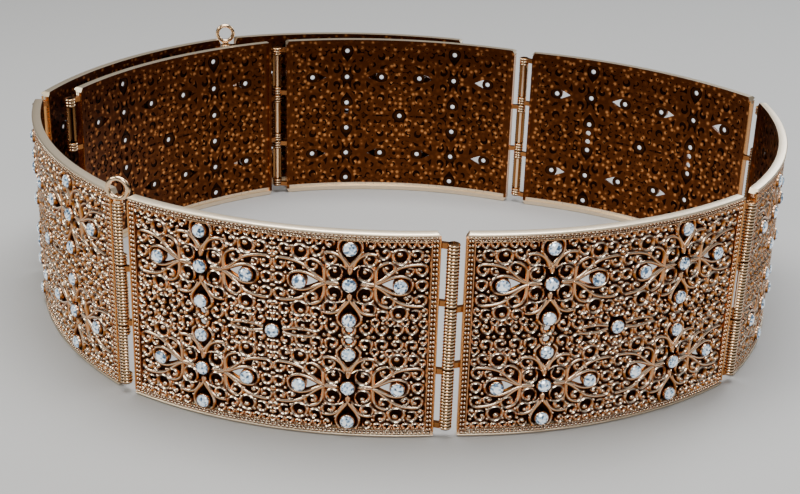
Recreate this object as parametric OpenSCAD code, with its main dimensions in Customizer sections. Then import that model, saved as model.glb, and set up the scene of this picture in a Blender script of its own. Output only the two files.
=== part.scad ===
/* [Belt] */
// Height of every panel
panel_height = 65; // [55:1:75]
// Distance between the two hinge pins of one panel
pin_pitch = 99.9; // [95:0.1:105]
// Straight width of a panel, from end to end
panel_chord = 93.6; // [88:0.1:96]
// Radius of a panel's outer face, seen from above
arc_radius = 135.6; // [120:0.1:160]
// First pin of the outer end, east
start_x = 21.9; // [-150:0.1:150]
// First pin of the outer end, north
start_y = 100.8; // [-150:0.1:150]

/* [Rim and plate] */
// Depth of the rim, from outer face to inner face
rim_depth = 2.9; // [2:0.1:4]
// Height of the top and bottom rim strips
rim_height = 1.6; // [1:0.1:3]
// Bevel of the rim's outer edges
rim_bevel = 0.5; // [0.2:0.1:1]
// Width of the rim at the panel's ends
end_width = 1.1; // [0.8:0.1:2]
// Width of the beaded border along the ends, rim included
end_border = 2.9; // [2:0.1:4]
// Height of the beaded border along top and bottom, rim included
long_border = 2.7; // [2:0.1:4]
// The border's face lies this far behind the rim's outer face
border_drop = 0.25; // [0.1:0.05:0.45]
// Back of the plate, behind the rim's outer face
plate_back = 1.9; // [1.7:0.1:2.5]
// Ground between the scrolls, behind the rim's outer face
plate_ground = 1.3; // [0.8:0.1:1.5]
// Crest of the raised scrolls, behind the rim's outer face
scroll_crest = 0.5; // [0.3:0.05:0.8]

/* [Motifs and stones] */
// Sideways distance from the panel's middle to a motif's centre
motif_x = 22.3; // [20:0.1:24]
// Upward distance from the panel's middle to a motif's centre
motif_z = 16.5; // [15:0.1:18]
// Distance from a motif's centre to its upper and lower stones
arm_z = 11.05; // [9:0.05:12]
// Distance from a motif's centre to its side stones
arm_x = 14.4; // [12:0.1:16]
// Radius of a stone at its widest
stone_radius = 1.95; // [1.5:0.05:2.5]
// Radius of a stone's flat table
table_radius = 1.15; // [0.8:0.05:1.5]
// Radius of the small flat at a stone's back
culet_radius = 0.8; // [0.5:0.05:1]
// Height of a stone's table above the rim's outer face
table_rise = 1.0; // [0.5:0.05:1.5]
// Height of a stone's widest line above the rim's outer face
girdle_rise = 0.4; // [0:0.05:1]
// Depth of a stone's back flat behind the rim's outer face
culet_drop = 1.5; // [1:0.05:1.8]
// Room between a stone and its seat
seat_room = 0.1; // [0.05:0.01:0.3]
// Outer radius of a stone's cup
cup_radius = 2.45; // [2.2:0.05:3]

/* [Hinges] */
// The pin's axis lies this far behind the rim's outer corners
axis_drop = 1.6; // [1:0.1:2]
// Outer radius of a hinge knuckle
knuckle_radius = 1.95; // [1.5:0.05:2.5]
// Radius of a hinge pin
pin_radius = 0.8; // [0.5:0.05:1.2]
// Running room round a pin
pin_room = 0.05; // [0.01:0.01:0.1]
// Bottom of the lowest knuckle
knuckle_bottom = 2.7; // [1:0.1:5]
// Top of the highest knuckle
knuckle_top = 62.1; // [60:0.1:64]
// Room between two knuckles
knuckle_room = 0.3; // [0.1:0.05:0.6]
// Height of the closed collar at each end of a knuckle
collar_height = 3.4; // [2:0.1:5]
// Height of the lugs that join a knuckle to its panel
lug_height = 1.7; // [1:0.1:3]
// Thickness of those lugs
lug_thickness = 1.5; // [1:0.1:2]
// Thickness of the floor that a pin stands on
floor_height = 0.6; // [0.4:0.1:1]

/* [Pull rings] */
// Radius of a pull ring's centre line
ring_radius = 3.1; // [2.5:0.1:4]
// Radius of a pull ring's wire
ring_wire = 0.75; // [0.5:0.05:1]
// Radius of the shoulder under a pull ring
shoulder_radius = 1.35; // [1:0.05:2]
// Height of that shoulder
shoulder_height = 0.8; // [0.5:0.1:2]

/* [Hidden] */
metal = [0.78, 0.55, 0.38];
steel = [0.80, 0.72, 0.60];
crystal = [0.80, 0.88, 0.95];
$fn = 48;
arc_steps = 240;
cut = 0.5;

// Panels from the outer free end to the inner free end: [heading seen from above]
PLAN = [
    [-173.2], // outer middle
    [-121.7], // outer left
    [-61.5],  // left
    [-11.1],  // front left
    [24.6],   // front right
    [77.2],   // right
    [148.6],  // back right
    [180.3],  // back middle
    [230.1],  // back left
];
OUTER_MIDDLE = 0; OUTER_LEFT = 1; LEFT = 2; FRONT_LEFT = 3; FRONT_RIGHT = 4;
RIGHT = 5; BACK_RIGHT = 6; BACK_MIDDLE = 7; BACK_LEFT = 8;

half_angle = asin(panel_chord / 2 / arc_radius);
deg_per_mm = 180 / PI / arc_radius;
arc_y = arc_radius * cos(half_angle) - axis_drop;
mid_z = panel_height / 2;
knuckle_height = (knuckle_top - knuckle_bottom - 2 * knuckle_room) / 3;
bore_radius = pin_radius + pin_room;

// Stones of one motif, from its centre: [sideways, up]
MOTIF_STONES = [[0, 0], [0, arm_z], [0, -arm_z], [arm_x, 0], [-arm_x, 0]];
// Motif centres from the panel's middle: [sideways, up]
MOTIFS = [[motif_x, motif_z], [-motif_x, motif_z], [motif_x, -motif_z], [-motif_x, -motif_z]];
// Every stone of a panel, from the panel's middle: [sideways, up]
STONES = concat([[0, 0]], [for (m = MOTIFS, s = MOTIF_STONES) m + s]);

// Sunk grounds in one quarter of a motif: [sideways, up, length, width, turn]
GROUNDS = [
    [4.3, 3.1, 4.4, 3.2, 25],    // eye beside the centre stone
    [9.6, 4.2, 4.2, 3.2, 50],    // curl beside the side arm
    [6.0, 7.6, 4.6, 2.2, 35],    // curl beside a drop
    [14.6, 4.6, 5.0, 2.2, 12],   // along the long strand
    [14.0, 8.6, 4.0, 3.2, 0],    // eyelet
    [19.8, 4.2, 3.2, 3.0, 0],    // hook at the side
    [18.6, 10.6, 3.4, 3.0, 0],   // corner curl
];
// Grounds in the band at the panel's middle height, only on that side of a motif
BAND = [
    [5.0, 14.4, 3.2, 2.6, 0],    // heart
    [12.4, 13.6, 5.0, 2.6, 0],   // pair of band curls
];
drop_point = 6.4;        // point of a drop, from the motif's centre
side_gap = [8.3, 11.4];  // opening in a side arm, from and to
loop_z = 14.85;          // plain loop at the panel's middle height, from the motif's centre
loop_radius = 1;

function along(a) = [cos(a), sin(a)];
// Hinge axis i of the chain, seen from above
function pin_at(i) = i == 0 ? [start_x, start_y]
                   : pin_at(i - 1) + pin_pitch * along(PLAN[i - 1][0]);

// A panel's own frame: origin between its two pins, x along its width, outer face towards -y
module at_panel(k) {
    mid = (pin_at(k) + pin_at(k + 1)) / 2;
    translate([mid[0], mid[1], 0]) rotate([0, 0, PLAN[k][0]]) children();
}

// The arc's own frame: origin on its axis, x outwards through the panel's middle
module arc_frame() {
    translate([0, arc_y, 0]) rotate([0, 0, -90]) children();
}

// A piece of the arc between two depths behind the outer face, two heights and two angles
module sector(deep, shallow, low, high, from, to) {
    rotate([0, 0, from]) rotate_extrude(angle = to - from, $fn = arc_steps)
        translate([arc_radius - deep, low]) square([deep - shallow, high - low]);
}

// Puts a child, drawn along +z from the arc's outer face, at a place on the panel
module on_face(place) {
    rotate([0, 0, place[0] * deg_per_mm]) translate([arc_radius, 0, mid_z + place[1]])
        rotate([0, 90, 0]) children();
}

// The panel at its full thickness, with bevelled long edges
module slab() {
    rotate([0, 0, -half_angle]) rotate_extrude(angle = 2 * half_angle, $fn = arc_steps)
        translate([arc_radius - rim_depth, 0]) polygon([
            [0, 0], [rim_depth - rim_bevel, 0], [rim_depth, rim_bevel],
            [rim_depth, panel_height - rim_bevel], [rim_depth - rim_bevel, panel_height],
            [0, panel_height]]);
}

// What is taken off the slab: the border's step, the scroll field's step and the hollow back
module steps() {
    inner = half_angle - end_width * deg_per_mm;
    field = half_angle - end_border * deg_per_mm;
    sector(border_drop, -cut, rim_height, panel_height - rim_height, -inner, inner);
    sector(scroll_crest, -cut, long_border, panel_height - long_border, -field, field);
    sector(rim_depth + cut, plate_back, rim_height, panel_height - rim_height, -inner, inner);
}

// Cuts a flat outline, drawn with x sideways and y up, into the scroll ground at a place
module sink(place) {
    on_face(place) translate([0, 0, -plate_ground]) rotate([0, 0, 90])
        linear_extrude(plate_ground + cut) children();
}

module leaf(l) {
    polygon([[-l[2] / 2, 0], [0, -l[3] / 2], [l[2] / 2, 0], [0, l[3] / 2]]);
}

module grounds() {
    for (m = MOTIFS, sx = [-1, 1], sy = [-1, 1]) {
        for (l = GROUNDS) sink(m + [sx * l[0], sy * l[1]]) rotate(sx * sy * l[4]) leaf(l);
        if (sy * m[1] < 0) for (l = BAND) sink(m + [sx * l[0], sy * l[1]]) leaf(l);
    }
    for (m = MOTIFS, s = [-1, 1]) sink(m + [0, s * drop_point])
        polygon([[0, 0], [1.3, s * 1.9], [-1.3, s * 1.9]]);
}

module cups() {
    low = plate_back - 0.2;
    for (p = STONES) on_face(p) translate([0, 0, -low]) cylinder(r = cup_radius, h = low + girdle_rise);
}

module seats() {
    for (p = STONES) on_face(p) {
        translate([0, 0, -rim_depth]) cylinder(r = culet_radius + seat_room, h = rim_depth);
        translate([0, 0, -culet_drop - seat_room])
            cylinder(r1 = culet_radius + seat_room / 2,
                     r2 = stone_radius + seat_room, h = culet_drop + girdle_rise + 1.5 * seat_room);
    }
}

module gaps() {
    middle = (side_gap[0] + side_gap[1]) / 2;
    half = (side_gap[1] - side_gap[0]) / 2;
    for (m = MOTIFS) {
        for (s = [-1, 1]) on_face(m + [s * middle, 0]) translate([0, 0, -rim_depth])
            linear_extrude(rim_depth + cut) rotate(90) polygon([
                [-s * half, 0], [s * half, -1.5], [s * half, 1.5]]);
        on_face(m - [0, sign(m[1]) * loop_z]) translate([0, 0, -rim_depth])
            cylinder(r = loop_radius, h = rim_depth + cut);
    }
}

// One knuckle: closed collars at both ends, open towards the belt's inside between them
module knuckle(low, dir) {
    translate([0, 0, low]) {
        difference() {
            cylinder(r = knuckle_radius, h = knuckle_height);
            translate([-knuckle_radius - cut, 0.5, collar_height])
                cube([2 * knuckle_radius + 1, knuckle_radius, knuckle_height - 2 * collar_height]);
        }
        reach = (pin_pitch - panel_chord) / 2 + 1.2;
        for (z = [0, knuckle_height - lug_height])
            translate([dir > 0 ? 0 : -reach, -lug_thickness / 2, z])
                cube([reach, lug_thickness, lug_height]);
    }
}

module knuckles() {
    step = knuckle_height + knuckle_room;
    translate([-pin_pitch / 2, 0, 0]) knuckle(knuckle_bottom + step, 1);
    translate([pin_pitch / 2, 0, 0]) {
        knuckle(knuckle_bottom, -1);
        knuckle(knuckle_bottom + 2 * step, -1);
    }
}

module bores() {
    for (s = [-1, 1]) translate([s * pin_pitch / 2, 0, knuckle_bottom + floor_height])
        cylinder(r = bore_radius, h = panel_height);
}

module panel() {
    difference() {
        union() {
            arc_frame() difference() {
                union() {
                    difference() { slab(); steps(); grounds(); }
                    cups();
                }
                seats();
                gaps();
            }
            knuckles();
        }
        bores();
    }
}

// A cut stone along +z: table, eight crown facets, eight pavilion facets and a small flat back
module stone() {
    n = 8;
    // Rings from table to back: [radius, height]
    rows = [[table_radius, table_rise], [stone_radius, girdle_rise], [culet_radius, -culet_drop]];
    points = [for (r = rows, i = [0 : n - 1])
        [r[0] * cos(360 * i / n), r[0] * sin(360 * i / n), r[1]]];
    sides = [for (k = [0 : len(rows) - 2], i = [0 : n - 1])
        [k * n + i, k * n + (i + 1) % n, (k + 1) * n + (i + 1) % n, (k + 1) * n + i]];
    polyhedron(points, concat([[for (i = [n - 1 : -1 : 0]) i]],
        sides, [[for (i = [0 : n - 1]) 2 * n + i]]));
}

module stones() {
    arc_frame() for (p = STONES) on_face(p) stone();
}

module pin() {
    low = knuckle_bottom + floor_height;
    translate([0, 0, low]) cylinder(r = pin_radius, h = knuckle_top - low - 0.4);
}

module ring_pin(facing) {
    low = knuckle_bottom + floor_height + 0.1;
    base = knuckle_top + 0.1;
    translate([0, 0, low]) cylinder(r = pin_radius, h = base - low + 0.1);
    translate([0, 0, base]) cylinder(r = shoulder_radius, h = shoulder_height);
    rotate([0, 0, facing]) translate([0, 0, base + shoulder_height + ring_radius + ring_wire - 0.3])
        rotate([90, 0, 0]) rotate_extrude() translate([ring_radius, 0]) circle(ring_wire);
}

module at_pin(i) {
    p = pin_at(i);
    translate([p[0], p[1], 0]) children();
}

module panel_front_left() { color(metal) at_panel(FRONT_LEFT) panel(); }
module panel_front_right() { color(metal) at_panel(FRONT_RIGHT) panel(); }
module panel_right() { color(metal) at_panel(RIGHT) panel(); }
module panel_back_right() { color(metal) at_panel(BACK_RIGHT) panel(); }
module panel_back_middle() { color(metal) at_panel(BACK_MIDDLE) panel(); }
module panel_back_left() { color(metal) at_panel(BACK_LEFT) panel(); }
module panel_left() { color(metal) at_panel(LEFT) panel(); }
module panel_outer_left() { color(metal) at_panel(OUTER_LEFT) panel(); }
module panel_outer_middle() { color(metal) at_panel(OUTER_MIDDLE) panel(); }

module stones_front_left() { color(crystal) at_panel(FRONT_LEFT) stones(); }
module stones_front_right() { color(crystal) at_panel(FRONT_RIGHT) stones(); }
module stones_right() { color(crystal) at_panel(RIGHT) stones(); }
module stones_back_right() { color(crystal) at_panel(BACK_RIGHT) stones(); }
module stones_back_middle() { color(crystal) at_panel(BACK_MIDDLE) stones(); }
module stones_back_left() { color(crystal) at_panel(BACK_LEFT) stones(); }
module stones_left() { color(crystal) at_panel(LEFT) stones(); }
module stones_outer_left() { color(crystal) at_panel(OUTER_LEFT) stones(); }
module stones_outer_middle() { color(crystal) at_panel(OUTER_MIDDLE) stones(); }

// A pin stands in the hinge at the far end of the panel named
module pin_front() { color(steel) at_pin(FRONT_LEFT + 1) pin(); }
module pin_front_right() { color(steel) at_pin(FRONT_RIGHT + 1) pin(); }
module pin_back_right() { color(steel) at_pin(RIGHT + 1) pin(); }
module pin_back_middle() { color(steel) at_pin(BACK_RIGHT + 1) pin(); }
module pin_back_left() { color(steel) at_pin(BACK_MIDDLE + 1) pin(); }
module pin_outer_left() { color(steel) at_pin(OUTER_LEFT + 1) pin(); }
module ring_pin_front_left() { color(steel) at_pin(LEFT + 1) ring_pin(-10); }
module ring_pin_back() { color(steel) at_pin(OUTER_MIDDLE + 1) ring_pin(12); }

panel_front_left();
panel_front_right();
panel_right();
panel_back_right();
panel_back_middle();
panel_back_left();
panel_left();
panel_outer_left();
panel_outer_middle();
stones_front_left();
stones_front_right();
stones_right();
stones_back_right();
stones_back_middle();
stones_back_left();
stones_left();
stones_outer_left();
stones_outer_middle();
pin_front();
pin_front_right();
pin_back_right();
pin_back_middle();
pin_back_left();
pin_outer_left();
ring_pin_front_left();
ring_pin_back();
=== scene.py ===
import math

import bpy
import numpy as np
from mathutils import Matrix, Vector


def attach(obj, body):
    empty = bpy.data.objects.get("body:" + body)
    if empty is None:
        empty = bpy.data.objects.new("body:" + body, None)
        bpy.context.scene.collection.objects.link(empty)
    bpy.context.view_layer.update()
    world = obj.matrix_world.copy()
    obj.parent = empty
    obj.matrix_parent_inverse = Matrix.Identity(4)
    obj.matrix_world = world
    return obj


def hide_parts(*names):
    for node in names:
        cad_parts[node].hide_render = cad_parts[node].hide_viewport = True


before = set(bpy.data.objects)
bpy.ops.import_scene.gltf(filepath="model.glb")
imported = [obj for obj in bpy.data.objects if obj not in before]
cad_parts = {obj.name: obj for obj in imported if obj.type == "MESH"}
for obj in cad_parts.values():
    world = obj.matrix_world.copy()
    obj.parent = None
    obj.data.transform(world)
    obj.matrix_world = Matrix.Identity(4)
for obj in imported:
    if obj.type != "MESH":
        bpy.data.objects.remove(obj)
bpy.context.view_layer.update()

# Lengths are in millimetres and table angles in degrees. A depth is measured outwards from
# the outer face of the rim, so most depths are negative. Flat drawings on a panel's face give
# the place sideways and up, from the panel's middle or from the middle of a motif.
MM = 0.001

# The panel, as in the solids
HEIGHT = 65.0
PITCH = 99.9             # from one hinge pin to the next
CHORD = 93.6             # straight width from end to end
RADIUS = 135.6           # of the rim's outer face, seen from above
AXIS_DROP = 1.6          # of the hinge axes behind the outer face at the panel's ends
LONG_BORDER = 2.7        # border along the top and the bottom
END_BORDER = 2.9         # border at the ends
FACE = -0.3              # crest of the scrolls
BACK = -1.95             # flat back of the scrolls
HALF = math.asin(CHORD / 2 / RADIUS)    # half of the panel's arc, in radians
ARC_Y = RADIUS * math.cos(HALF) - AXIS_DROP
HALF_LENGTH = RADIUS * HALF
MIDDLE = HEIGHT / 2

# The chain of panels, with the first hinge pin and each panel's heading
START = (21.9, 100.8)
PLAN = [
    ("outer_middle", -173.2), ("outer_left", -121.7), ("left", -61.5), ("front_left", -11.1),
    ("front_right", 24.6), ("right", 77.2), ("back_right", 148.6), ("back_middle", 180.3),
    ("back_left", 230.1),
]

# Materials of a panel, by number
SCROLL, RIM, END, KNUCKLES, INSIDE = range(5)
CRYSTAL = 0              # the only material of the stones
SMOOTH_ANGLE = 64        # below this, two faces are shaded as one
FLAT_ANGLE = 1

# Middles of the motifs, and how far the other stones lie from them
MOTIF = (22.3, 16.5)
ARM = (14.4, 11.05)

# Scrolls of one quarter of a motif, from its middle. A coil that turns less than a full
# circle ends in a ball.
# Coils: [sideways, up, first radius, last radius, first angle, sweep]
COILS = [
    [4.5, 3.1, 2.35, 1.6, 170, 300],     # eye beside the centre stone
    [5.6, 7.5, 2.0, 1.3, 60, -300],      # curl beside a drop
    [10.9, 5.1, 1.95, 1.3, 100, -300],   # curl beside the side arm
    [14.3, 8.8, 2.35, 2.35, 0, 360],     # round eyelet
    [18.7, 9.4, 1.8, 1.25, 240, 300],    # leaf
    [20.5, 0, 1.5, 1.5, 0, 360],         # loop at the side
    [9.6, 9.7, 1.8, 1.25, 150, 300],     # curl before the eyelet
    [21.3, 8.3, 1.15, 1.0, 200, -300],
    [16.8, 4.3, 1.15, 1.0, 120, -290],
]
# Only on the side of the belt's rims
OUTER_COILS = [
    [5.8, 12.2, 1.25, 1.0, 200, -300],
    [8.9, 12.7, 0.95, 0.95, 0, 360],
    [11.7, 12.7, 1.0, 1.0, 0, 360],
    [14.5, 12.9, 0.8, 0.8, 0, 360],
    [17.3, 12.7, 1.0, 1.0, 0, 360],
    [20.0, 12.7, 1.0, 1.0, 0, 360],
    [22.3, 12.7, 0.8, 0.8, 0, 360],
]
# Only on the side of the panel's middle height
INNER_COILS = [
    [0, 14.7, 1.75, 1.75, 0, 360],       # plain loop
    [4.9, 13.9, 1.85, 1.25, -50, 320],   # heart
    [9.5, 14.0, 1.75, 1.25, 230, -300],
    [13.9, 14.1, 1.7, 1.2, 230, 300],
    [18.2, 13.8, 1.7, 1.2, 230, -300],
    [21.4, 12.1, 1.1, 1.1, 0, 360],
    [7.5, 11.8, 1.05, 1.05, 0, 360],
    [11.8, 11.5, 1.0, 1.0, 0, 360],
    [16.1, 11.6, 1.0, 1.0, 0, 360],
    [21.4, 15.2, 1.25, 1.0, 180, -300],
]
# Curves: [start, two handles, end], each as sideways and up
CURVES = [
    [0, 5.0, 0.8, 6.8, 3.3, 8.3, 3.35, 11.1],      # side of a drop
    [7.0, 0.25, 9.4, 0.7, 11.4, 2.8, 14.4, 2.85],  # upper side of a side drop
    [14.4, 2.85, 16.6, 2.8, 17.8, 1.6, 17.8, 0],
    [1.0, 5.3, 1.6, 8.0, 4.2, 10.2, 7.4, 9.2],     # back of the curl beside a drop
    [7.3, 0.8, 7.1, 3.4, 7.2, 6.3, 10.9, 7.05],    # back of the curl beside the side arm
    [3.2, 0.0, 4.4, 0.5, 5.6, 0.3, 7.0, 0.1],      # side arm
    [0.0, 3.2, 0.4, 4.0, 0.4, 4.6, 0.0, 5.3],      # upper arm
]
OUTER_CURVES = [[3.35, 11.1, 3.4, 12.2, 2.9, 13.1, 2.2, 13.7]]
INNER_CURVES = [[3.35, 11.1, 3.3, 12.0, 2.8, 12.6, 1.9, 13.2]]
# Thin strands beside the eye
THIN_CURVES = [
    [7.0, 0.2, 7.0, 2.0, 7.0, 4.0, 6.8, 6.0],
    [1.0, 4.6, 2.2, 6.2, 5.6, 6.6, 7.0, 4.4],
    [2.5, 1.6, 2.0, 3.0, 1.9, 4.0, 2.9, 5.3],
]
# The long strand, in two curves, and the hook it ends in
STRAND = [
    [7.0, 0.3, 10.4, 1.7, 12.0, 4.8, 14.8, 5.7],
    [14.8, 5.7, 16.6, 6.35, 18.4, 6.5, 20.2, 6.5],
]
HOOK = [20.2, 4.7, 1.8, 1.25, 90, -300]
# Round studs where strands meet: [sideways, up, radius]
STUDS = [
    [14.0, 9.5, 1.0], [7.5, 10.6, 0.6], [11.9, 10.4, 0.6], [16.6, 10.5, 0.6], [21.7, 10.5, 0.65],
    [8.3, 7.5, 0.6], [12.4, 7.2, 0.65], [16.8, 7.4, 0.65], [13.2, 4.1, 0.6], [22.0, 2.3, 0.65],
    [18.5, 2.0, 0.6], [2.6, 5.6, 0.55], [3.6, 10.0, 0.5],
]
INNER_STUDS = [
    [2.4, 16.5, 0.8], [7.1, 16.5, 0.85], [11.7, 16.5, 0.8], [16.0, 16.5, 0.8], [5.3, 11.3, 0.5],
    [9.7, 11.9, 0.6], [14.0, 12.1, 0.55], [18.6, 11.6, 0.6],
]
# Pyramid knots on both sides of a motif's middle: [sideways, up, radius]
MOTIF_KNOTS = [[3.15, 0, 0.8], [0, 3.15, 0.8], [7.0, 0, 0.7], [0, 5.4, 0.7]]
# Knots above and below the panel's centre stone, evenly spaced
KNOT_FIRST = 4.6
KNOT_PITCH = 3.75
KNOT_COUNT = 7
UPRIGHT_KNOT = 1.0       # radius
# Knots beside the centre stone, and the two short curves that leave it on each side
LEVEL_KNOTS = (12.5, 16.5, 28.0, 32.0, 36.0, 40.0)
LEVEL_KNOT = 0.9         # radius
SPRAY = [3.0, 0.5, 6.0, 1.4, 9.0, 1.6, 12.5, 0.6]

# Section of a scroll's wire: [across, depth, tone]. The low tone at the back is painted shade in
# the hollows, the high tone at the crest a painted highlight
SECTION = np.array([
    [0.74, BACK, 0.05], [0.55, FACE - 0.34, 0.88], [0.0, FACE, 1.0],
    [-0.55, FACE - 0.34, 0.88], [-0.74, BACK, 0.05]])
THIN = 0.6               # width of a thin strand, as a share of a wire's
SMALL = 0.85             # the same for the wire of a small coil
SMALL_RADIUS = 1.3       # a coil is small below this radius
COIL_TIP = 0.4           # the same for the first end of a coil's wire
TURN_STEPS = (8.5, 3.4)  # steps of a full turn, and how many more for each mm of radius
CLOSING = 1.5            # power of the way along a coil by which it draws in
CURVE_STEP = 1.1         # length of a curve's step
LEAST_STEPS = (5, 4)     # of a coil and of a curve
CUP_ROOM = 1.85          # from a stone's middle to a scroll's wire
OVERLAP = 0.35           # of the scrolls into the border
# The ball inside a coil, beside the end of its wire
BALL = 0.78              # radius
BALL_SIDES = 6
BALL_SHIFT = 0.45        # from the coil's middle to the wire's end
# Rows of a stud and of a knot: [share of the radius, depth, tone], then the tip's depth. The tone
# paints shade at the foot and a highlight on the head, and the tip is painted brightest
STUD_ROWS = [[1.0, BACK, 0.0], [1.0, FACE - 0.55, 0.7], [0.62, FACE - 0.1, 1.0]]
STUD_TIP = FACE + 0.12
STUD_SIDES = 8
KNOT_ROWS = [[1.0, BACK, 0.3], [1.0, FACE - 0.45, 0.6]]
KNOT_TIP = FACE + 0.25
KNOT_SIDES = 4

# Sunk ground behind the scrolls, cut through inside the side drops and the plain loops and
# behind the stones. It takes the darkest tone, as painted shade in the hollow behind the scrolls
GROUND = (-1.5, -1.65)   # depth of its front and its back
GROUND_ROW = 0.75        # height of a row
GROUND_STEP = 0.375      # step along a row
GROUND_RUN = 7.0         # longest stretch laid in one piece
SIDE_DROP = [
    [7.0, 0.15], [8.5, 0.65], [10.5, 1.7], [12.1, 2.4], [13.0, 2.65], [13.0, 0.0], [7.0, 0.0]]
LOOP = (14.75, 1.25)     # height above the motif's middle, and radius
CUP_BACK = 1.6           # radius of the opening behind a stone

# Section of a stone's cup: [radius, depth, tone]. Low tones paint shade deep in the cup, high tones
# a highlight on its lip
CUP = [
    [0.95, -1.9, 0.1], [2.3, -1.95, 0.05], [2.32, -0.6, 0.6], [2.22, 0.15, 0.9],
    [2.05, 0.38, 1.0], [1.9, 0.30, 0.9], [1.6, -0.4, 0.3], [0.95, -1.6, 0.1],
]
CUP_SIDES = 16

# A stone: [radius, depth] of its table, star, upper and lower girdle and back
STONE_SIDES = 8
TABLE = (1.15, 1.0)
STAR = (1.6, 0.75)
GIRDLE = (1.95, 0.42)
UNDER_GIRDLE = (1.95, 0.36)
CULET = (0.8, -1.5)
# Brightness of the facets that are alike in every stone
PAVILION = [0.2, 0.5, 0.3]
GIRDLE_BAND = 0.1
CULET_FLAT = 0.9
SMALL_FACETS = 0.6       # how bright the facets beside the girdle may be
SCATTER = (12.9898, 78.233, 437.585)     # scatters the brightness of the other facets

# The border
RIM_DEPTH = 2.9
RIM_HEIGHT = 1.5
LEDGE = -0.8             # depth of the ledge under the beads
LINE_FACE = -0.22        # depth of the thin line between the beads and the scrolls
# Section of the rim: [down from its edge, depth, how far its ends are cut back here]
RIM_SECTION = [
    [0.0, -RIM_DEPTH, 0.9], [0.0, -0.5, 0.9], [0.22, -0.12, 0.6], [0.5, 0.0, 0.25],
    [0.72, -0.08, 0], [0.8, -0.75, 0], [LONG_BORDER, LEDGE, 0], [LONG_BORDER, BACK, 0],
    [RIM_HEIGHT, BACK, 0], [RIM_HEIGHT, -RIM_DEPTH, 0],
]
RIM_INNER_SIDES = 3      # sides of the section that face inwards
ARC_STEPS = 28
# Section of the thin line: [up from its middle, depth]
LINE_SECTION = [[0.14, LEDGE], [0.09, LINE_FACE], [-0.09, LINE_FACE], [-0.14, LEDGE]]
LINE_DOWN = 2.5          # its middle, from the panel's upper or lower edge
LINE_END = 2.6           # from the panel's end
# Level rows of beads: [down from the edge, in from the ends, pitch, half length,
# half width, sides, crest]
LEVEL_BEADS = [[1.2, 0.7, 1.27, 0.63, 0.46, 8, 0.0], [1.95, 2.4, 0.92, 0.46, 0.32, 6, -0.15]]
# Upright rows of beads at the ends: distance in from the end
UPRIGHT_BEADS = (0.98, 1.88)
UPRIGHT_BEAD = (1.45, 0.74, 0.47)    # pitch, half length and half width
UPRIGHT_END = 1.6                    # from the panel's upper or lower edge
BEAD_FOOT = -0.75
BEAD_SHOULDER = (0.72, 0.17)         # share of the bead's width, and drop from its crest
BEAD_TONES = (0.25, 1.0)             # of its foot and its shoulder: painted shade at the foot, a painted highlight on the shoulder and the crest
# Upright bars at the ends: [from, to, back, front, material, bevel]
END_BARS = [
    [0, 0.5, -RIM_DEPTH, 0.0, END, 0.2],         # full-depth edge
    [0.5, 1.1, -RIM_DEPTH, LEDGE, END, 0],       # ledge under the outer beads
    [1.1, END_BORDER, BACK, LEDGE, INSIDE, 0],   # ledge under the inner beads
    [2.45, 2.65, LEDGE, LINE_FACE, SCROLL, 0],   # thin line
]
BAR_TONE = 0.9

# Hinge knuckles, three in each hinge
BOTTOM, TOP = 2.7, 62.1
ROOM = 0.3               # between two knuckles
KNUCKLE = (TOP - BOTTOM - 2 * ROOM) / 3
RIBS_EACH = 19
COLLAR = 3.4             # height of a closed ring at each end of a knuckle
OUTER_R, GROOVE_R, BORE_R = 1.94, 1.62, 0.86
# Section of a rib: [share of its pitch, radius, tone]; low tones paint shade in the grooves, high
# tones a highlight on the crests
RIB = [
    [0.0, GROOVE_R, 0.0], [0.14, GROOVE_R, 0.0], [0.3, OUTER_R - 0.1, 0.8],
    [0.57, OUTER_R, 1.0], [0.84, OUTER_R - 0.1, 0.8],
]
FULL_TURN = np.arange(0, 360, 20)
OPEN_TURN = np.linspace(165, 375, 13)    # open at the back, between the two rings
# painted shade on the cut faces of the open middle
CUT_TONE = 0.3
# Flat lugs from a knuckle to its panel
LUG_HEIGHT = 1.7
LUG_DEPTH = 0.75         # to each side of the hinge axis
LUG_START = 0.9          # from the hinge axis
LUG_OVERLAP = 1.0        # into the panel
# a low tone, painted shade on the lugs
LUG_TONE = 0.25


class Shape:
    """Collects points, faces, materials and the tone of each point for one mesh."""

    def __init__(self):
        self.points, self.tones = [], []
        self.faces, self.mats, self.facets, self.rounded = [], [], [], []
        self.count = 0

    def add(self, points, faces, mat, tones, facets=None, rounded=True):
        """Adds a piece of mesh; mat is one material's number, or a list with one for each face."""
        self.points.append(np.asarray(points, float))
        self.tones.append(np.broadcast_to(np.asarray(tones, float), (len(points),)))
        self.faces += [tuple(self.count + i for i in f) for f in faces]
        self.mats += mat if isinstance(mat, list) else [mat] * len(faces)
        self.facets += facets or [1.0] * len(faces)
        self.rounded += [rounded] * len(faces)
        self.count += len(points)

    def mesh(self, name, materials, angle=SMOOTH_ANGLE):
        """Makes the mesh, in metres."""
        me = bpy.data.meshes.new(name)
        points = np.concatenate(self.points) * MM
        me.from_pydata(points.tolist(), [], self.faces)
        for m in materials:
            me.materials.append(m)
        me.polygons.foreach_set("material_index", self.mats)
        me.polygons.foreach_set("use_smooth", self.rounded)
        tone = me.attributes.new("tone", "FLOAT", "POINT")
        tone.data.foreach_set("value", np.concatenate(self.tones))
        facet = me.attributes.new("facet", "FLOAT", "FACE")
        facet.data.foreach_set("value", self.facets)
        me.update()
        me.set_sharp_from_angle(angle=math.radians(angle))
        return me


def on_arc(x, z, d):
    """Points of a panel from the place on its face, sideways and up, and the depth."""
    x, z, d = np.broadcast_arrays(np.asarray(x, float), z, d)
    t = x / RADIUS
    return np.stack([(RADIUS + d) * np.sin(t), ARC_Y - (RADIUS + d) * np.cos(t), MIDDLE + z], -1)


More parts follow.
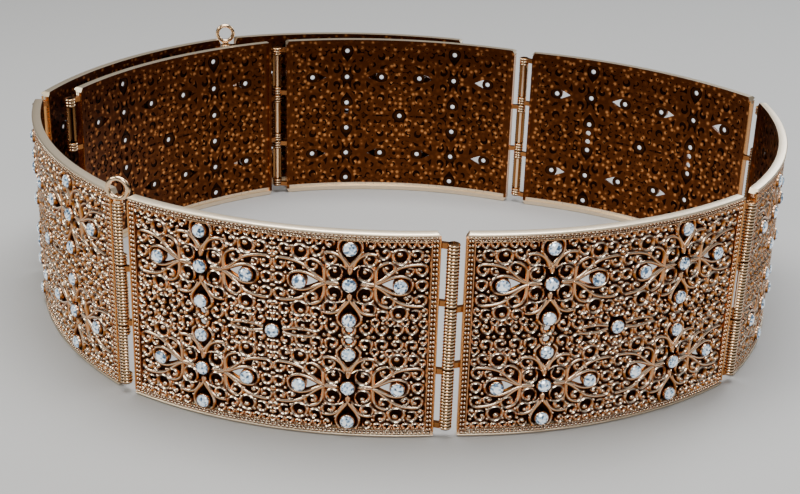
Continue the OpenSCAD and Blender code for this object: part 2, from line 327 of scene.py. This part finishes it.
def circle(sides, turned=False):
    """Evenly spaced angles in radians, turned by half a step if asked."""
    a = np.arange(sides) * 2 * math.pi / sides
    return a + math.pi / sides if turned else a


def ring(x, z, r, angles, d):
    """Points of a circle drawn on a panel's face."""
    return on_arc(x + r * np.cos(angles), z + r * np.sin(angles), d)


def grid_faces(rows, cols, wrap_rows=False, wrap_cols=False):
    """Faces between the points of a grid, whose last row or column may meet its first."""
    faces = []
    for r in range(rows if wrap_rows else rows - 1):
        for c in range(cols if wrap_cols else cols - 1):
            r2, c2 = (r + 1) % rows, (c + 1) % cols
            faces.append((r * cols + c, r * cols + c2, r2 * cols + c2, r2 * cols + c))
    return faces


def end_faces(rows, cols):
    """The two faces that close a tube made of a grid."""
    return [tuple(range(cols))[::-1], tuple((rows - 1) * cols + i for i in range(cols))]


def stone_places():
    """Places of the 21 stones: one in the middle and five in each motif."""
    out = [(0.0, 0.0)]
    for mx in (MOTIF[0], -MOTIF[0]):
        for mz in (MOTIF[1], -MOTIF[1]):
            out += [(mx, mz), (mx, mz + ARM[1]), (mx, mz - ARM[1]),
                    (mx + ARM[0], mz), (mx - ARM[0], mz)]
    return out


STONES = stone_places()


def near_stone(place, room):
    """Whether a place is closer than this to the middle of a stone."""
    return min(math.dist(place, stone) for stone in STONES) < room


# Scrollwork
def sweep(shape, path, closed=False, wide=1.0, tip=1.0):
    """Sweeps the wire's section along a flat path, whose first end narrows to a tip."""
    p = np.asarray(path, float)
    t = np.roll(p, -1, 0) - np.roll(p, 1, 0) if closed else np.gradient(p, axis=0)
    t /= np.linalg.norm(t, axis=1)[:, None] + 1e-9
    n = np.stack([-t[:, 1], t[:, 0]], 1)
    w = np.full(len(p), wide)
    if not closed:
        w[0] *= tip
        w[1] *= (1 + tip) / 2
    across, depth, tone = SECTION.T
    u = across[None, :] * w[:, None]
    x = p[:, 0][:, None] + n[:, 0][:, None] * u
    z = p[:, 1][:, None] + n[:, 1][:, None] * u
    k = len(SECTION)
    faces = grid_faces(len(p), k, wrap_rows=closed, wrap_cols=True)
    mats = ([SCROLL] * (k - 1) + [INSIDE]) * (len(faces) // k)
    if not closed:
        faces += end_faces(len(p), k)
        mats += [SCROLL, SCROLL]
    shape.add(on_arc(x, z, depth).reshape(-1, 3), faces, mats, np.tile(tone, len(p)))


def coil_path(c):
    """The path of a coil, and whether it is a full circle."""
    x, z, r0, r1, a0, turn = c
    full = abs(turn) >= 360
    n = max(LEAST_STEPS[0], int(round(abs(turn) / 360 * (TURN_STEPS[0] + TURN_STEPS[1] * r0))))
    s = np.linspace(0, 1, n + 1)[: n if full else n + 1]
    a = np.radians(a0 + turn * s)
    r = r0 + (r1 - r0) * s ** CLOSING
    return np.stack([x + r * np.cos(a), z + r * np.sin(a)], 1), full


def curve_path(c):
    """The path of a curve with two handles."""
    p = np.asarray(c, float).reshape(4, 2)
    n = max(LEAST_STEPS[1], int(np.linalg.norm(np.diff(p, axis=0), axis=1).sum() / CURVE_STEP))
    s = np.linspace(0, 1, n + 1)[:, None]
    return ((1 - s) ** 3 * p[0] + 3 * s * (1 - s) ** 2 * p[1] + 3 * s ** 2 * (1 - s) * p[2]
            + s ** 3 * p[3])


def peak(shape, x, z, r, rows, tip, sides):
    """An upright form with a tip, drawn flat on the panel's face, from a table of rows."""
    a = circle(sides)
    pts = [ring(x, z, share * r, a, d) for share, d, _ in rows]
    # the tip takes the brightest tone, a painted highlight
    tones = np.repeat([tone for _, _, tone in rows], sides).tolist() + [1.0]
    last = (len(rows) - 1) * sides
    faces = grid_faces(len(rows), sides, wrap_cols=True)
    faces += [(last + i, last + (i + 1) % sides, last + sides) for i in range(sides)]
    faces.append(tuple(range(sides))[::-1])
    mats = [SCROLL] * (len(faces) - 1) + [INSIDE]
    shape.add(np.concatenate(pts + [on_arc([x], [z], tip)]), faces, mats, tones)


def stud(shape, x, z, r, sides=STUD_SIDES):
    """A round stud with a domed head."""
    peak(shape, x, z, r, STUD_ROWS, STUD_TIP, sides)


def knot(shape, x, z, r):
    """A small four-sided pyramid."""
    peak(shape, x, z, r, KNOT_ROWS, KNOT_TIP, KNOT_SIDES)


def end_ball(shape, centre, end):
    """The ball inside a coil, beside the end of its wire."""
    x, z = centre + BALL_SHIFT * (end - centre)
    stud(shape, x, z, BALL, BALL_SIDES)


def quarter(shape, here, turn):
    """One quarter of the motif at a place, mirrored as its two signs say."""
    inner = turn[1] * here[1] < 0
    edge = np.array([HALF_LENGTH - END_BORDER + OVERLAP, MIDDLE - LONG_BORDER + OVERLAP])
    for c in COILS + (INNER_COILS if inner else OUTER_COILS):
        centre = here + turn * c[:2]
        # what lies on the line between two quarters is drawn by one of them
        twice = c[0] == 0 and turn[0] < 0 or c[1] == 0 and turn[1] < 0
        if twice or near_stone(centre, c[2] + CUP_ROOM):
            continue
        path, full = coil_path(c)
        wide = SMALL if c[2] < SMALL_RADIUS else 1.0
        sweep(shape, here + path * turn, closed=full, wide=wide, tip=COIL_TIP)
        if not full:
            end_ball(shape, centre, here + path[-1] * turn)
    path = np.concatenate([curve_path(STRAND[0]), curve_path(STRAND[1])[1:],
                           coil_path(HOOK)[0][1:]])
    sweep(shape, here + path * turn)
    end_ball(shape, here + turn * HOOK[:2], here + path[-1] * turn)
    for c in CURVES + (INNER_CURVES if inner else OUTER_CURVES):
        sweep(shape, np.clip(here + curve_path(c) * turn, -edge, edge))
    for c in THIN_CURVES:
        sweep(shape, here + curve_path(c) * turn, wide=THIN)
    for x, z, r in STUDS + (INNER_STUDS if inner else []):
        stud(shape, *(here + turn * (x, z)), r)


def scrolls(shape):
    """The scrollwork of one panel: four motifs, and the knots between them."""
    for mx in (MOTIF[0], -MOTIF[0]):
        for mz in (MOTIF[1], -MOTIF[1]):
            for sx in (1, -1):
                for sz in (1, -1):
                    quarter(shape, np.array([mx, mz]), np.array([sx, sz]))
            for x, z, r in MOTIF_KNOTS:
                for s in (1, -1):
                    knot(shape, mx + s * x, mz + s * z, r)
    for s in (1, -1):
        for i in range(KNOT_COUNT):
            knot(shape, 0, s * (KNOT_FIRST + i * KNOT_PITCH), UPRIGHT_KNOT)
        for up in (1, -1):
            sweep(shape, curve_path(SPRAY) * (s, up))
        for x in LEVEL_KNOTS:
            knot(shape, s * x, 0, LEVEL_KNOT)


# Ground and cups
def inside_outline(x, z, outline):
    """Which of the points x, z lie inside a closed outline."""
    inside = np.zeros(len(x), bool)
    for (x0, z0), (x1, z1) in zip(outline, outline[1:] + outline[:1]):
        if z0 != z1:
            inside ^= ((z0 > z) != (z1 > z)) & (x < x0 + (x1 - x0) * (z - z0) / (z1 - z0))
    return inside


def is_open(x, z):
    """Whether the ground is cut through at points x along one row at height z."""
    across = np.abs(np.abs(x) - MOTIF[0])
    up = np.full(len(x), abs(abs(z) - MOTIF[1]))
    cut = inside_outline(across, up, SIDE_DROP)
    if abs(z) < MOTIF[1]:
        cut |= np.hypot(across, up - LOOP[0]) < LOOP[1]
    for stone_x, stone_z in STONES:
        cut |= np.hypot(x - stone_x, z - stone_z) < CUP_BACK
    return cut


def ground(shape):
    """The sunk ground, laid in rows that stop at each opening."""
    edge_x, edge_z = HALF_LENGTH - END_BORDER, MIDDLE - LONG_BORDER
    rows = round(2 * edge_z / GROUND_ROW)
    steps = round(2 * edge_x / GROUND_STEP)
    longest = round(GROUND_RUN / GROUND_STEP)
    xs = np.linspace(-edge_x, edge_x, steps + 1)
    zs = np.linspace(-edge_z, edge_z, rows + 1)
    corners = []
    for low, high in zip(zs[:-1], zs[1:]):
        cut = is_open((xs[:-1] + xs[1:]) / 2, (low + high) / 2)
        first = None
        for i in range(steps + 1):
            stop = i == steps or cut[i]
            if first is not None and (stop or i - first >= longest):
                corners.append((xs[first], xs[i], low, high))
                first = None
            if not stop and first is None:
                first = i
    x0, x1, low, high = np.array(corners).T
    x = np.stack([x0, x1, x1, x0], 1).ravel()
    z = np.stack([low, low, high, high], 1).ravel()
    quads = [tuple(range(i, i + 4)) for i in range(0, len(x), 4)]
    front, back = GROUND
    # both faces take the darkest tone: painted shade
    shape.add(on_arc(x, z, front), quads, SCROLL, 0.0)
    shape.add(on_arc(x, z, back), [q[::-1] for q in quads], SCROLL, 0.0)


def cups(shape):
    """Round cups with a turned-in lip, open at the back behind each stone."""
    faces = grid_faces(len(CUP), CUP_SIDES, wrap_rows=True, wrap_cols=True)
    tones = np.repeat([tone for _, _, tone in CUP], CUP_SIDES)
    for x, z in STONES:
        pts = [ring(x, z, r, circle(CUP_SIDES), d) for r, d, _ in CUP]
        shape.add(np.concatenate(pts), faces, SCROLL, tones)


# Border
def bead_row(shape, start, end, pitch, half_length, half_width, sides=8, crest=0.0):
    """A row of domed beads in a straight line on the panel's face."""
    (x0, z0), (x1, z1) = start, end
    length = math.hypot(x1 - x0, z1 - z0)
    n = max(1, int(round(length / pitch)))
    ux, uz = (x1 - x0) / length, (z1 - z0) / length
    a = circle(sides, turned=True)
    share, drop = BEAD_SHOULDER
    pts, faces, tones = [], [], []
    for i in range(n):
        s = (i + 0.5) * length / n
        cx, cz = x0 + ux * s, z0 + uz * s
        for k, d, tone in zip((1.0, share), (BEAD_FOOT, crest - drop), BEAD_TONES):
            along, across = half_length * k * np.cos(a), half_width * k * np.sin(a)
            pts.append(on_arc(cx + ux * along - uz * across, cz + uz * along + ux * across, d))
            tones += [tone] * sides
        pts.append(on_arc([cx], [cz], crest))
        tones.append(1.0)
        foot = i * (2 * sides + 1)
        shoulder, top = foot + sides, foot + 2 * sides
        for j in range(sides):
            j2 = (j + 1) % sides
            faces.append((foot + j, foot + j2, shoulder + j2, shoulder + j))
            faces.append((shoulder + j, shoulder + j2, top))
    shape.add(np.concatenate(pts), faces, SCROLL, tones)


def strip(shape, section, x0, x1, mats, insets=0.0):
    """A level bar along the arc from rows of height and depth, with a material for each side."""
    x = np.linspace(x0, x1, ARC_STEPS + 1)
    z, d = np.asarray(section, float).T
    k = len(z)
    along = np.clip(x[:, None], x0 + np.broadcast_to(insets, k), x1 - np.broadcast_to(insets, k))
    pts = on_arc(along.ravel(), np.tile(z, len(x)), np.tile(d, len(x)))
    faces = grid_faces(len(x), k, wrap_cols=True) + end_faces(len(x), k)
    shape.add(pts, faces, mats * ARC_STEPS + mats[:2], 1.0)


def upright_bar(shape, x0, x1, reach, back, front, mat, bevel):
    """A bar from x0 to x1, as high as its reach up and down, with its front edges cut off."""
    x, d = np.array([(x0, back), (x0, front - bevel), (x0 + bevel, front),
                     (x1 - bevel, front), (x1, front - bevel), (x1, back)]).T
    pts = np.concatenate([on_arc(x, -reach, d), on_arc(x, reach, d)])
    faces = grid_faces(2, len(x), wrap_cols=True) + end_faces(2, len(x))
    mats = [mat] * (len(x) - 1) + [INSIDE] + [mat] * 2
    shape.add(pts, faces, mats, BAR_TONE, rounded=False)


def borders(shape):
    """The rims, bead rows, ledges and thin lines round one panel."""
    top, end = MIDDLE, HALF_LENGTH
    for s in (1, -1):
        outline = [(top - down, d) for down, d, _ in RIM_SECTION]
        insets = [inset for _, _, inset in RIM_SECTION]
        mats = [RIM] * (len(outline) - RIM_INNER_SIDES) + [INSIDE] * RIM_INNER_SIDES
        if s < 0:
            outline, insets = [(-z, d) for z, d in outline][::-1], insets[::-1]
            mats = [RIM] * len(outline)
        strip(shape, outline, -end, end, mats, insets)
        for down, start, *bead in LEVEL_BEADS:
            row = s * (top - down)
            bead_row(shape, (-end + start, row), (end - start, row), *bead)
        line = s * (top - LINE_DOWN)
        strip(shape, [(line + up, d) for up, d in LINE_SECTION], -end + LINE_END, end - LINE_END,
              [SCROLL] * len(LINE_SECTION))
        for near, far, back, front, mat, bevel in END_BARS:
            x0, x1 = sorted((s * (end - near), s * (end - far)))
            upright_bar(shape, x0, x1, top - RIM_HEIGHT, back, front, mat, bevel)
        for inset in UPRIGHT_BEADS:
            line = s * (end - inset)
            bead_row(shape, (line, -top + UPRIGHT_END), (line, top - UPRIGHT_END), *UPRIGHT_BEAD)


# Hinge knuckles
def wrap(shape, cx, rows, tones, angles):
    """A turned skin round an upright axis at cx, from rows of height and radius."""
    a = np.radians(angles)
    z, r = np.asarray(rows, float).T[:, :, None]
    pts = np.stack([cx + r * np.cos(a), r * np.sin(a), np.broadcast_to(z, (len(z), len(a)))], -1)
    faces = grid_faces(len(z), len(a), wrap_cols=angles is FULL_TURN)
    shape.add(pts.reshape(-1, 3), faces, KNUCKLES, np.repeat(tones, len(a)))


def knuckle(shape, cx, low, side):
    """A ribbed knuckle on the hinge axis at cx, with two lugs to its panel on one side."""
    pitch = KNUCKLE / RIBS_EACH
    collar = round(COLLAR / pitch)
    for first, last, angles in ((0, collar, FULL_TURN), (collar, RIBS_EACH - collar, OPEN_TURN),
                                (RIBS_EACH - collar, RIBS_EACH, FULL_TURN)):
        rows = [(low + i * pitch + share * pitch, r)
                for i in range(first, last) for share, r, _ in RIB]
        z0, z1 = rows[0][0], low + last * pitch
        rows.append((z1, GROOVE_R))
        tones = [tone for _, _, tone in RIB] * (last - first) + [0.0]
        wrap(shape, cx, rows, tones, angles)
        # the end faces and the bore: painted shade in the bore and on the lower end, the upper end,
        # which faces up, painted lighter
        wrap(shape, cx, [(z0, BORE_R), (z0, GROOVE_R)], [0.1, 0.3], angles)
        wrap(shape, cx, [(z1, GROOVE_R), (z1, BORE_R)], [0.6, 0.2], angles)
        wrap(shape, cx, [(z1, BORE_R), (z0, BORE_R)], [0.1, 0.1], angles)
        if angles is OPEN_TURN:
            for a, face in ((angles[0], (0, 1, 2, 3)), (angles[-1], (3, 2, 1, 0))):
                c, s = math.cos(math.radians(a)), math.sin(math.radians(a))
                cut = [(BORE_R, z0), (GROOVE_R, z0), (GROOVE_R, z1), (BORE_R, z1)]
                shape.add([(cx + r * c, r * s, z) for r, z in cut], [face], KNUCKLES, CUT_TONE)
    reach = (PITCH - CHORD) / 2 + LUG_OVERLAP
    x0, x1 = sorted((cx + side * LUG_START, cx + side * reach))
    for z in (low, low + KNUCKLE - LUG_HEIGHT):
        plan = [(x0, -LUG_DEPTH), (x1, -LUG_DEPTH), (x1, LUG_DEPTH), (x0, LUG_DEPTH)]
        box = [(x, y, h) for h in (z, z + LUG_HEIGHT) for x, y in plan]
        faces = [(0, 3, 2, 1), (4, 5, 6, 7), (0, 1, 5, 4), (1, 2, 6, 5), (2, 3, 7, 6), (3, 0, 4, 7)]
        shape.add(box, faces, END, LUG_TONE, rounded=False)


def knuckles(shape):
    """The middle knuckle at one end of a panel, and the upper and lower one at the other."""
    step = KNUCKLE + ROOM
    knuckle(shape, -PITCH / 2, BOTTOM + step, 1)
    knuckle(shape, PITCH / 2, BOTTOM, -1)
    knuckle(shape, PITCH / 2, BOTTOM + 2 * step, -1)


# Stones
def sparkle(stone, facet):
    """A facet's brightness from 0 to 1, different in every stone."""
    by_stone, by_facet, spread = SCATTER
    return abs(math.sin(by_stone * (stone + 1) + by_facet * (facet + 1)) * spread) % 1


def cut_stones(shape):
    """Round cut stones: a table in eight wedges, star, kite and girdle facets, more below."""
    n = STONE_SIDES
    rings = [(TABLE, circle(n, turned=True)), (STAR, circle(n)), (GIRDLE, circle(2 * n)),
             (UNDER_GIRDLE, circle(2 * n)), (CULET, circle(n, turned=True))]
    table, star, gird, under, culet, middle = 0, n, 2 * n, 4 * n, 6 * n, 7 * n
    for k, (x, z) in enumerate(STONES):
        pts = [ring(x, z, r, a, d) for (r, d), a in rings] + [on_arc([x], [z], TABLE[1])]
        faces, facets = [], []
        for i in range(n):
            # star point j lies between the table's corners i and j
            j = (i + 1) % n
            g = [(2 * i + step) % (2 * n) for step in range(-1, 4)]
            faces += [(table + i, table + j, middle), (table + i, star + j, table + j),
                      (table + i, gird + g[2], star + j), (table + i, star + i, gird + g[2]),
                      (star + i, gird + g[1], gird + g[2]), (star + i, gird + g[0], gird + g[1]),
                      (under + g[2], culet + i, under + g[3]),
                      (culet + i, culet + j, under + g[3]),
                      (under + g[3], culet + j, under + g[4])]
            facets += [sparkle(k, i + 20 * kind) for kind in range(4)]
            facets += [SMALL_FACETS * sparkle(k, i + 20 * kind) for kind in (4, 5)] + PAVILION
        for i in range(2 * n):
            j = (i + 1) % (2 * n)
            faces.append((gird + i, under + i, under + j, gird + j))
            facets.append(GIRDLE_BAND)
        faces.append(tuple(culet + i for i in range(n))[::-1])
        facets.append(CULET_FLAT)
        shape.add(np.concatenate(pts), faces, CRYSTAL, 1.0, facets)


# Materials. Colours go by the tone of each point: [tone, red, green, blue]. Low tones are painted
# shade in the hollows, high tones painted highlights on the crests
SCROLL_TONES = [
    [0.0, 0.012, 0.004, 0.002], [0.28, 0.15, 0.044, 0.007], [0.53, 0.46, 0.165, 0.03],
    [0.77, 0.80, 0.45, 0.24], [1.0, 1.0, 0.90, 0.75]]
RIM_TONES = [[0.0, 0.72, 0.45, 0.24], [1.0, 1.0, 0.84, 0.63]]
END_TONES = [[0.0, 0.25, 0.08, 0.02], [1.0, 0.76, 0.36, 0.12]]
KNUCKLE_TONES = [
    [0.0, 0.02, 0.007, 0.003], [0.45, 0.50, 0.24, 0.08], [0.75, 0.93, 0.66, 0.41],
    [1.0, 1.0, 0.89, 0.71]]
PIN_TONES = [[0.0, 0.92, 0.66, 0.42], [1.0, 0.92, 0.66, 0.42]]
# Colours from the middle of a painted glint outwards into the painted shade of the inside, and of
# the facets by their brightness
GLINT_AND_SHADE_TONES = [
    [0.0, 0.80, 0.38, 0.14], [0.2, 0.55, 0.21, 0.06], [0.34, 0.15, 0.042, 0.011],
    [0.6, 0.09, 0.024, 0.006]]
CRYSTAL_TONES = [
    [0.0, 0.04, 0.07, 0.12], [0.2, 0.16, 0.26, 0.40], [0.38, 0.50, 0.68, 0.88],
    [0.6, 0.84, 0.93, 1.0], [1.0, 1.0, 1.0, 1.0]]
# Grain of the plating: its scale, and the strength and the depth in metres of its bump
GRAIN_SCALE = 900.0
GRAIN_STRENGTH = 0.05
GRAIN_DEPTH = 0.0003
FACES_DOWN, FACES_OUT = -0.6, 0.3    # upward part of the normal, where the painted shade of down-facing faces ends and starts
GLINT_SCALE = 430.0
GLINT_SPREAD = 0.75
INSIDE_ROUGHNESS = 0.34
CRYSTAL_GLOW = 0.5       # stands for the light that comes back out of a cut stone
CRYSTAL_METALLIC = 0.5
CRYSTAL_ROUGHNESS = 0.05
FLOOR_COLOUR = (0.44, 0.44, 0.436, 1)
FLOOR_ROUGHNESS = 0.55
FLOOR_SIZE = 8           # in metres, as is the next
FLOOR_DROP = 0.0002      # keeps the floor clear of the lower rims


def new_material(name):
    """A new material, its nodes and its shader."""
    m = bpy.data.materials.new(name)
    m.use_nodes = True
    return m, m.node_tree, m.node_tree.nodes["Principled BSDF"]


def ramp(tree, stops):
    """A colour ramp from rows of position, red, green and blue."""
    node = tree.nodes.new("ShaderNodeValToRGB")
    band = node.color_ramp
    while len(band.elements) < len(stops):
        band.elements.new(0.5)
    for e, (at, *colour) in zip(band.elements, stops):
        e.position = at
        e.color = (*colour, 1)
    return node


def plated(name, stops, roughness, under=1.0):
    """Plated metal whose colour follows the tone of each point, with painted shade where it faces
    down.

    Where it faces straight down, only the share called under is left of the tone, as painted shade.
    """
    m, tree, bsdf = new_material(name)
    tone = tree.nodes.new("ShaderNodeAttribute")
    tone.attribute_name = "tone"
    coords = tree.nodes.new("ShaderNodeTexCoord")
    # painted shade: the tone is darkened where the normal turns downwards
    facing = tree.nodes.new("ShaderNodeSeparateXYZ")
    shade = tree.nodes.new("ShaderNodeMapRange")
    shade.inputs["From Min"].default_value = FACES_DOWN
    shade.inputs["From Max"].default_value = FACES_OUT
    shade.inputs["To Min"].default_value = under
    tone_with_painted_shade = tree.nodes.new("ShaderNodeMath")
    tone_with_painted_shade.operation = "MULTIPLY"
    colours = ramp(tree, stops)
    grain = tree.nodes.new("ShaderNodeTexNoise")
    grain.inputs["Scale"].default_value = GRAIN_SCALE
    bump = tree.nodes.new("ShaderNodeBump")
    bump.inputs["Strength"].default_value = GRAIN_STRENGTH
    bump.inputs["Distance"].default_value = GRAIN_DEPTH
    link = tree.links.new
    link(coords.outputs["Normal"], facing.inputs["Vector"])
    link(facing.outputs["Z"], shade.inputs["Value"])
    link(tone.outputs["Fac"], tone_with_painted_shade.inputs[0])
    link(shade.outputs["Result"], tone_with_painted_shade.inputs[1])
    link(tone_with_painted_shade.outputs["Value"], colours.inputs["Fac"])
    link(colours.outputs["Color"], bsdf.inputs["Base Color"])
    link(coords.outputs["Object"], grain.inputs["Vector"])
    link(grain.outputs["Fac"], bump.inputs["Height"])
    link(bump.outputs["Normal"], bsdf.inputs["Normal"])
    bsdf.inputs["Metallic"].default_value = 1.0
    bsdf.inputs["Roughness"].default_value = roughness
    return m


def painted_shade_and_glints():
    """The reddish inside of the panels, painted dark as shade, with painted glints on the backs of
    the scrolls.
    """
    m, tree, bsdf = new_material("inside_metal")
    coords = tree.nodes.new("ShaderNodeTexCoord")
    # painted glints in the middles of the cells, painted shade between them
    cells = tree.nodes.new("ShaderNodeTexVoronoi")
    cells.inputs["Scale"].default_value = GLINT_SCALE
    cells.inputs["Randomness"].default_value = GLINT_SPREAD
    colours = ramp(tree, GLINT_AND_SHADE_TONES)
    tree.links.new(coords.outputs["Object"], cells.inputs["Vector"])
    tree.links.new(cells.outputs["Distance"], colours.inputs["Fac"])
    tree.links.new(colours.outputs["Color"], bsdf.inputs["Base Color"])
    bsdf.inputs["Metallic"].default_value = 1.0
    bsdf.inputs["Roughness"].default_value = INSIDE_ROUGHNESS
    return m


def cut_crystal():
    """Clear cut crystal whose facets differ, as they do where light runs through it."""
    m, tree, bsdf = new_material("crystal")
    facet = tree.nodes.new("ShaderNodeAttribute")
    facet.attribute_name = "facet"
    colours = ramp(tree, CRYSTAL_TONES)
    tree.links.new(facet.outputs["Fac"], colours.inputs["Fac"])
    tree.links.new(colours.outputs["Color"], bsdf.inputs["Base Color"])
    tree.links.new(colours.outputs["Color"], bsdf.inputs["Emission Color"])
    bsdf.inputs["Emission Strength"].default_value = CRYSTAL_GLOW
    bsdf.inputs["Metallic"].default_value = CRYSTAL_METALLIC
    bsdf.inputs["Roughness"].default_value = CRYSTAL_ROUGHNESS
    return m


# In the order of the materials' numbers
metals = [
    # under sets how deep the painted shade on down-facing faces goes
    plated("scroll_metal", SCROLL_TONES, roughness=0.25, under=0.16),
    plated("rim_metal", RIM_TONES, roughness=0.38, under=0.5),
    plated("end_metal", END_TONES, roughness=0.24),
    plated("knuckle_metal", KNUCKLE_TONES, roughness=0.22, under=0.3),
    painted_shade_and_glints(),
]
pin_metal = plated("pin_metal", PIN_TONES, roughness=0.2)
crystal = cut_crystal()


# Pieces
def pin_at(i):
    """Place of the chain's hinge pin i, seen from above."""
    x, y = START
    for _, heading in PLAN[:i]:
        a = math.radians(heading)
        x, y = x + PITCH * math.cos(a), y + PITCH * math.sin(a)
    return x, y


def placed(mesh, k):
    """A copy of a panel's mesh, moved to panel k's place in the chain."""
    x0, y0 = pin_at(k)
    x1, y1 = pin_at(k + 1)
    mesh = mesh.copy()
    mesh.transform(Matrix.Translation(Vector(((x0 + x1) / 2 * MM, (y0 + y1) / 2 * MM, 0)))
                   @ Matrix.Rotation(math.radians(PLAN[k][1]), 4, "Z"))
    return mesh


openwork, surround, jewels = Shape(), Shape(), Shape()
scrolls(openwork)
ground(openwork)
cups(openwork)
borders(surround)
knuckles(surround)
cut_stones(jewels)
openwork_mesh = openwork.mesh("openwork", metals)
surround_mesh = surround.mesh("surround", metals)
jewel_mesh = jewels.mesh("jewels", [crystal], angle=FLAT_ANGLE)

for k, (name, _) in enumerate(PLAN):
    for kind, mesh, node, slot in (("openwork", openwork_mesh, "panel_", "rose_metal"),
                                   ("surround", surround_mesh, "panel_", "rose_metal"),
                                   ("jewels", jewel_mesh, "stones_", "crystal")):
        piece = bpy.data.objects.new(kind + "_" + name, placed(mesh, k))
        bpy.context.scene.collection.objects.link(piece)
        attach(piece, name)
        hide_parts(node + name)

for name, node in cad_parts.items():
    if name.startswith(("pin_", "ring_pin_")):
        node.data.materials.clear()
        node.data.materials.append(pin_metal)

# Floor
floor_material, _, floor_shader = new_material("floor")
floor_shader.inputs["Base Color"].default_value = FLOOR_COLOUR
floor_shader.inputs["Roughness"].default_value = FLOOR_ROUGHNESS
bpy.ops.mesh.primitive_plane_add(size=FLOOR_SIZE, location=(0, 0, -FLOOR_DROP))
floor = bpy.context.object
floor.name = "floor"
floor.data.materials.append(floor_material)

# Light, in metres and watts. The sky's colours go from straight down to straight up.
SKY = [
    [0.0, 0.05, 0.05, 0.05], [0.55, 0.06, 0.06, 0.062], [0.78, 0.75, 0.75, 0.75],
    [1.0, 1.0, 1.0, 1.0]]
SKY_STRENGTH = 0.32
# Softboxes: name, place, target, size, power and colour
SOFTBOXES = [
    ("top", (0.0, 0.05, 0.85), (0, 0, 0), (0.7, 0.5), 11.5, (1, 1, 1)),
    ("key", (-0.75, -0.35, 0.6), (0, -0.1, 0.03), (0.3, 0.3), 2.8, (1, 0.98, 0.86)),
    ("front", (0.1, -0.85, 0.6), (0, -0.1, 0.03), (0.35, 0.3), 3.2, (1, 0.96, 0.9)),
    ("rim", (0.5, 0.6, 0.4), (0, 0, 0.03), (0.3, 0.4), 2, (0.9, 0.95, 1)),
]


def studio_sky():
    """A soft sky, dark below the horizon and pale above it."""
    world = bpy.data.worlds.new("studio")
    bpy.context.scene.world = world
    world.use_nodes = True
    tree = world.node_tree
    background = tree.nodes["Background"]
    coords = tree.nodes.new("ShaderNodeTexCoord")
    split = tree.nodes.new("ShaderNodeSeparateXYZ")
    lift = tree.nodes.new("ShaderNodeMapRange")
    lift.inputs["From Min"].default_value = -1.0
    sky = ramp(tree, SKY)
    tree.links.new(coords.outputs["Generated"], split.inputs["Vector"])
    tree.links.new(split.outputs["Z"], lift.inputs["Value"])
    tree.links.new(lift.outputs["Result"], sky.inputs["Fac"])
    tree.links.new(sky.outputs["Color"], background.inputs["Color"])
    background.inputs["Strength"].default_value = SKY_STRENGTH


def softbox(name, place_at, target, size, power, colour):
    """A soft rectangular light that faces its target."""
    data = bpy.data.lights.new(name, "AREA")
    data.shape = "RECTANGLE"
    data.size, data.size_y = size
    data.energy = power
    data.color = colour
    obj = bpy.data.objects.new(name, data)
    bpy.context.scene.collection.objects.link(obj)
    obj.location = place_at
    obj.rotation_mode = "QUATERNION"
    obj.rotation_quaternion = (Vector(target) - Vector(place_at)).to_track_quat("-Z", "Y")


studio_sky()
for box in SOFTBOXES:
    softbox(*box)

# Camera. The focal length and the shift are in pixels of the image's width.
IMAGE_WIDTH = 800
FOCAL = 1418.4
SHIFT = (-34.9, -26.6)
SENSOR = 36
CLIP = (0.01, 50)        # in metres
EYE = (-5.6, -363.0, 219.6)          # from the foot of the front hinge
FRONT_HINGE = 4
ELEVATION, ROLL = math.radians(22.565), math.radians(2.470)

pin_x, pin_y = pin_at(FRONT_HINGE)
eye = Vector(((pin_x + EYE[0]) * MM, (pin_y + EYE[1]) * MM, EYE[2] * MM))
back = Vector((0, -math.cos(ELEVATION), math.sin(ELEVATION)))
up = Vector((0, math.sin(ELEVATION), math.cos(ELEVATION)))
right = Vector((1, 0, 0))
cam_right = right * math.cos(ROLL) + up * math.sin(ROLL)
cam_up = up * math.cos(ROLL) - right * math.sin(ROLL)
camera_data = bpy.data.cameras.new("camera")
camera = bpy.data.objects.new("camera", camera_data)
bpy.context.scene.collection.objects.link(camera)
camera_data.lens = FOCAL / IMAGE_WIDTH * SENSOR
camera_data.sensor_width = SENSOR
camera_data.shift_x, camera_data.shift_y = SHIFT[0] / IMAGE_WIDTH, SHIFT[1] / IMAGE_WIDTH
camera_data.clip_start, camera_data.clip_end = CLIP
camera.matrix_world = Matrix((
    (cam_right.x, cam_up.x, back.x, eye.x),
    (cam_right.y, cam_up.y, back.y, eye.y),
    (cam_right.z, cam_up.z, back.z, eye.z),
    (0, 0, 0, 1)))
bpy.context.scene.camera = camera
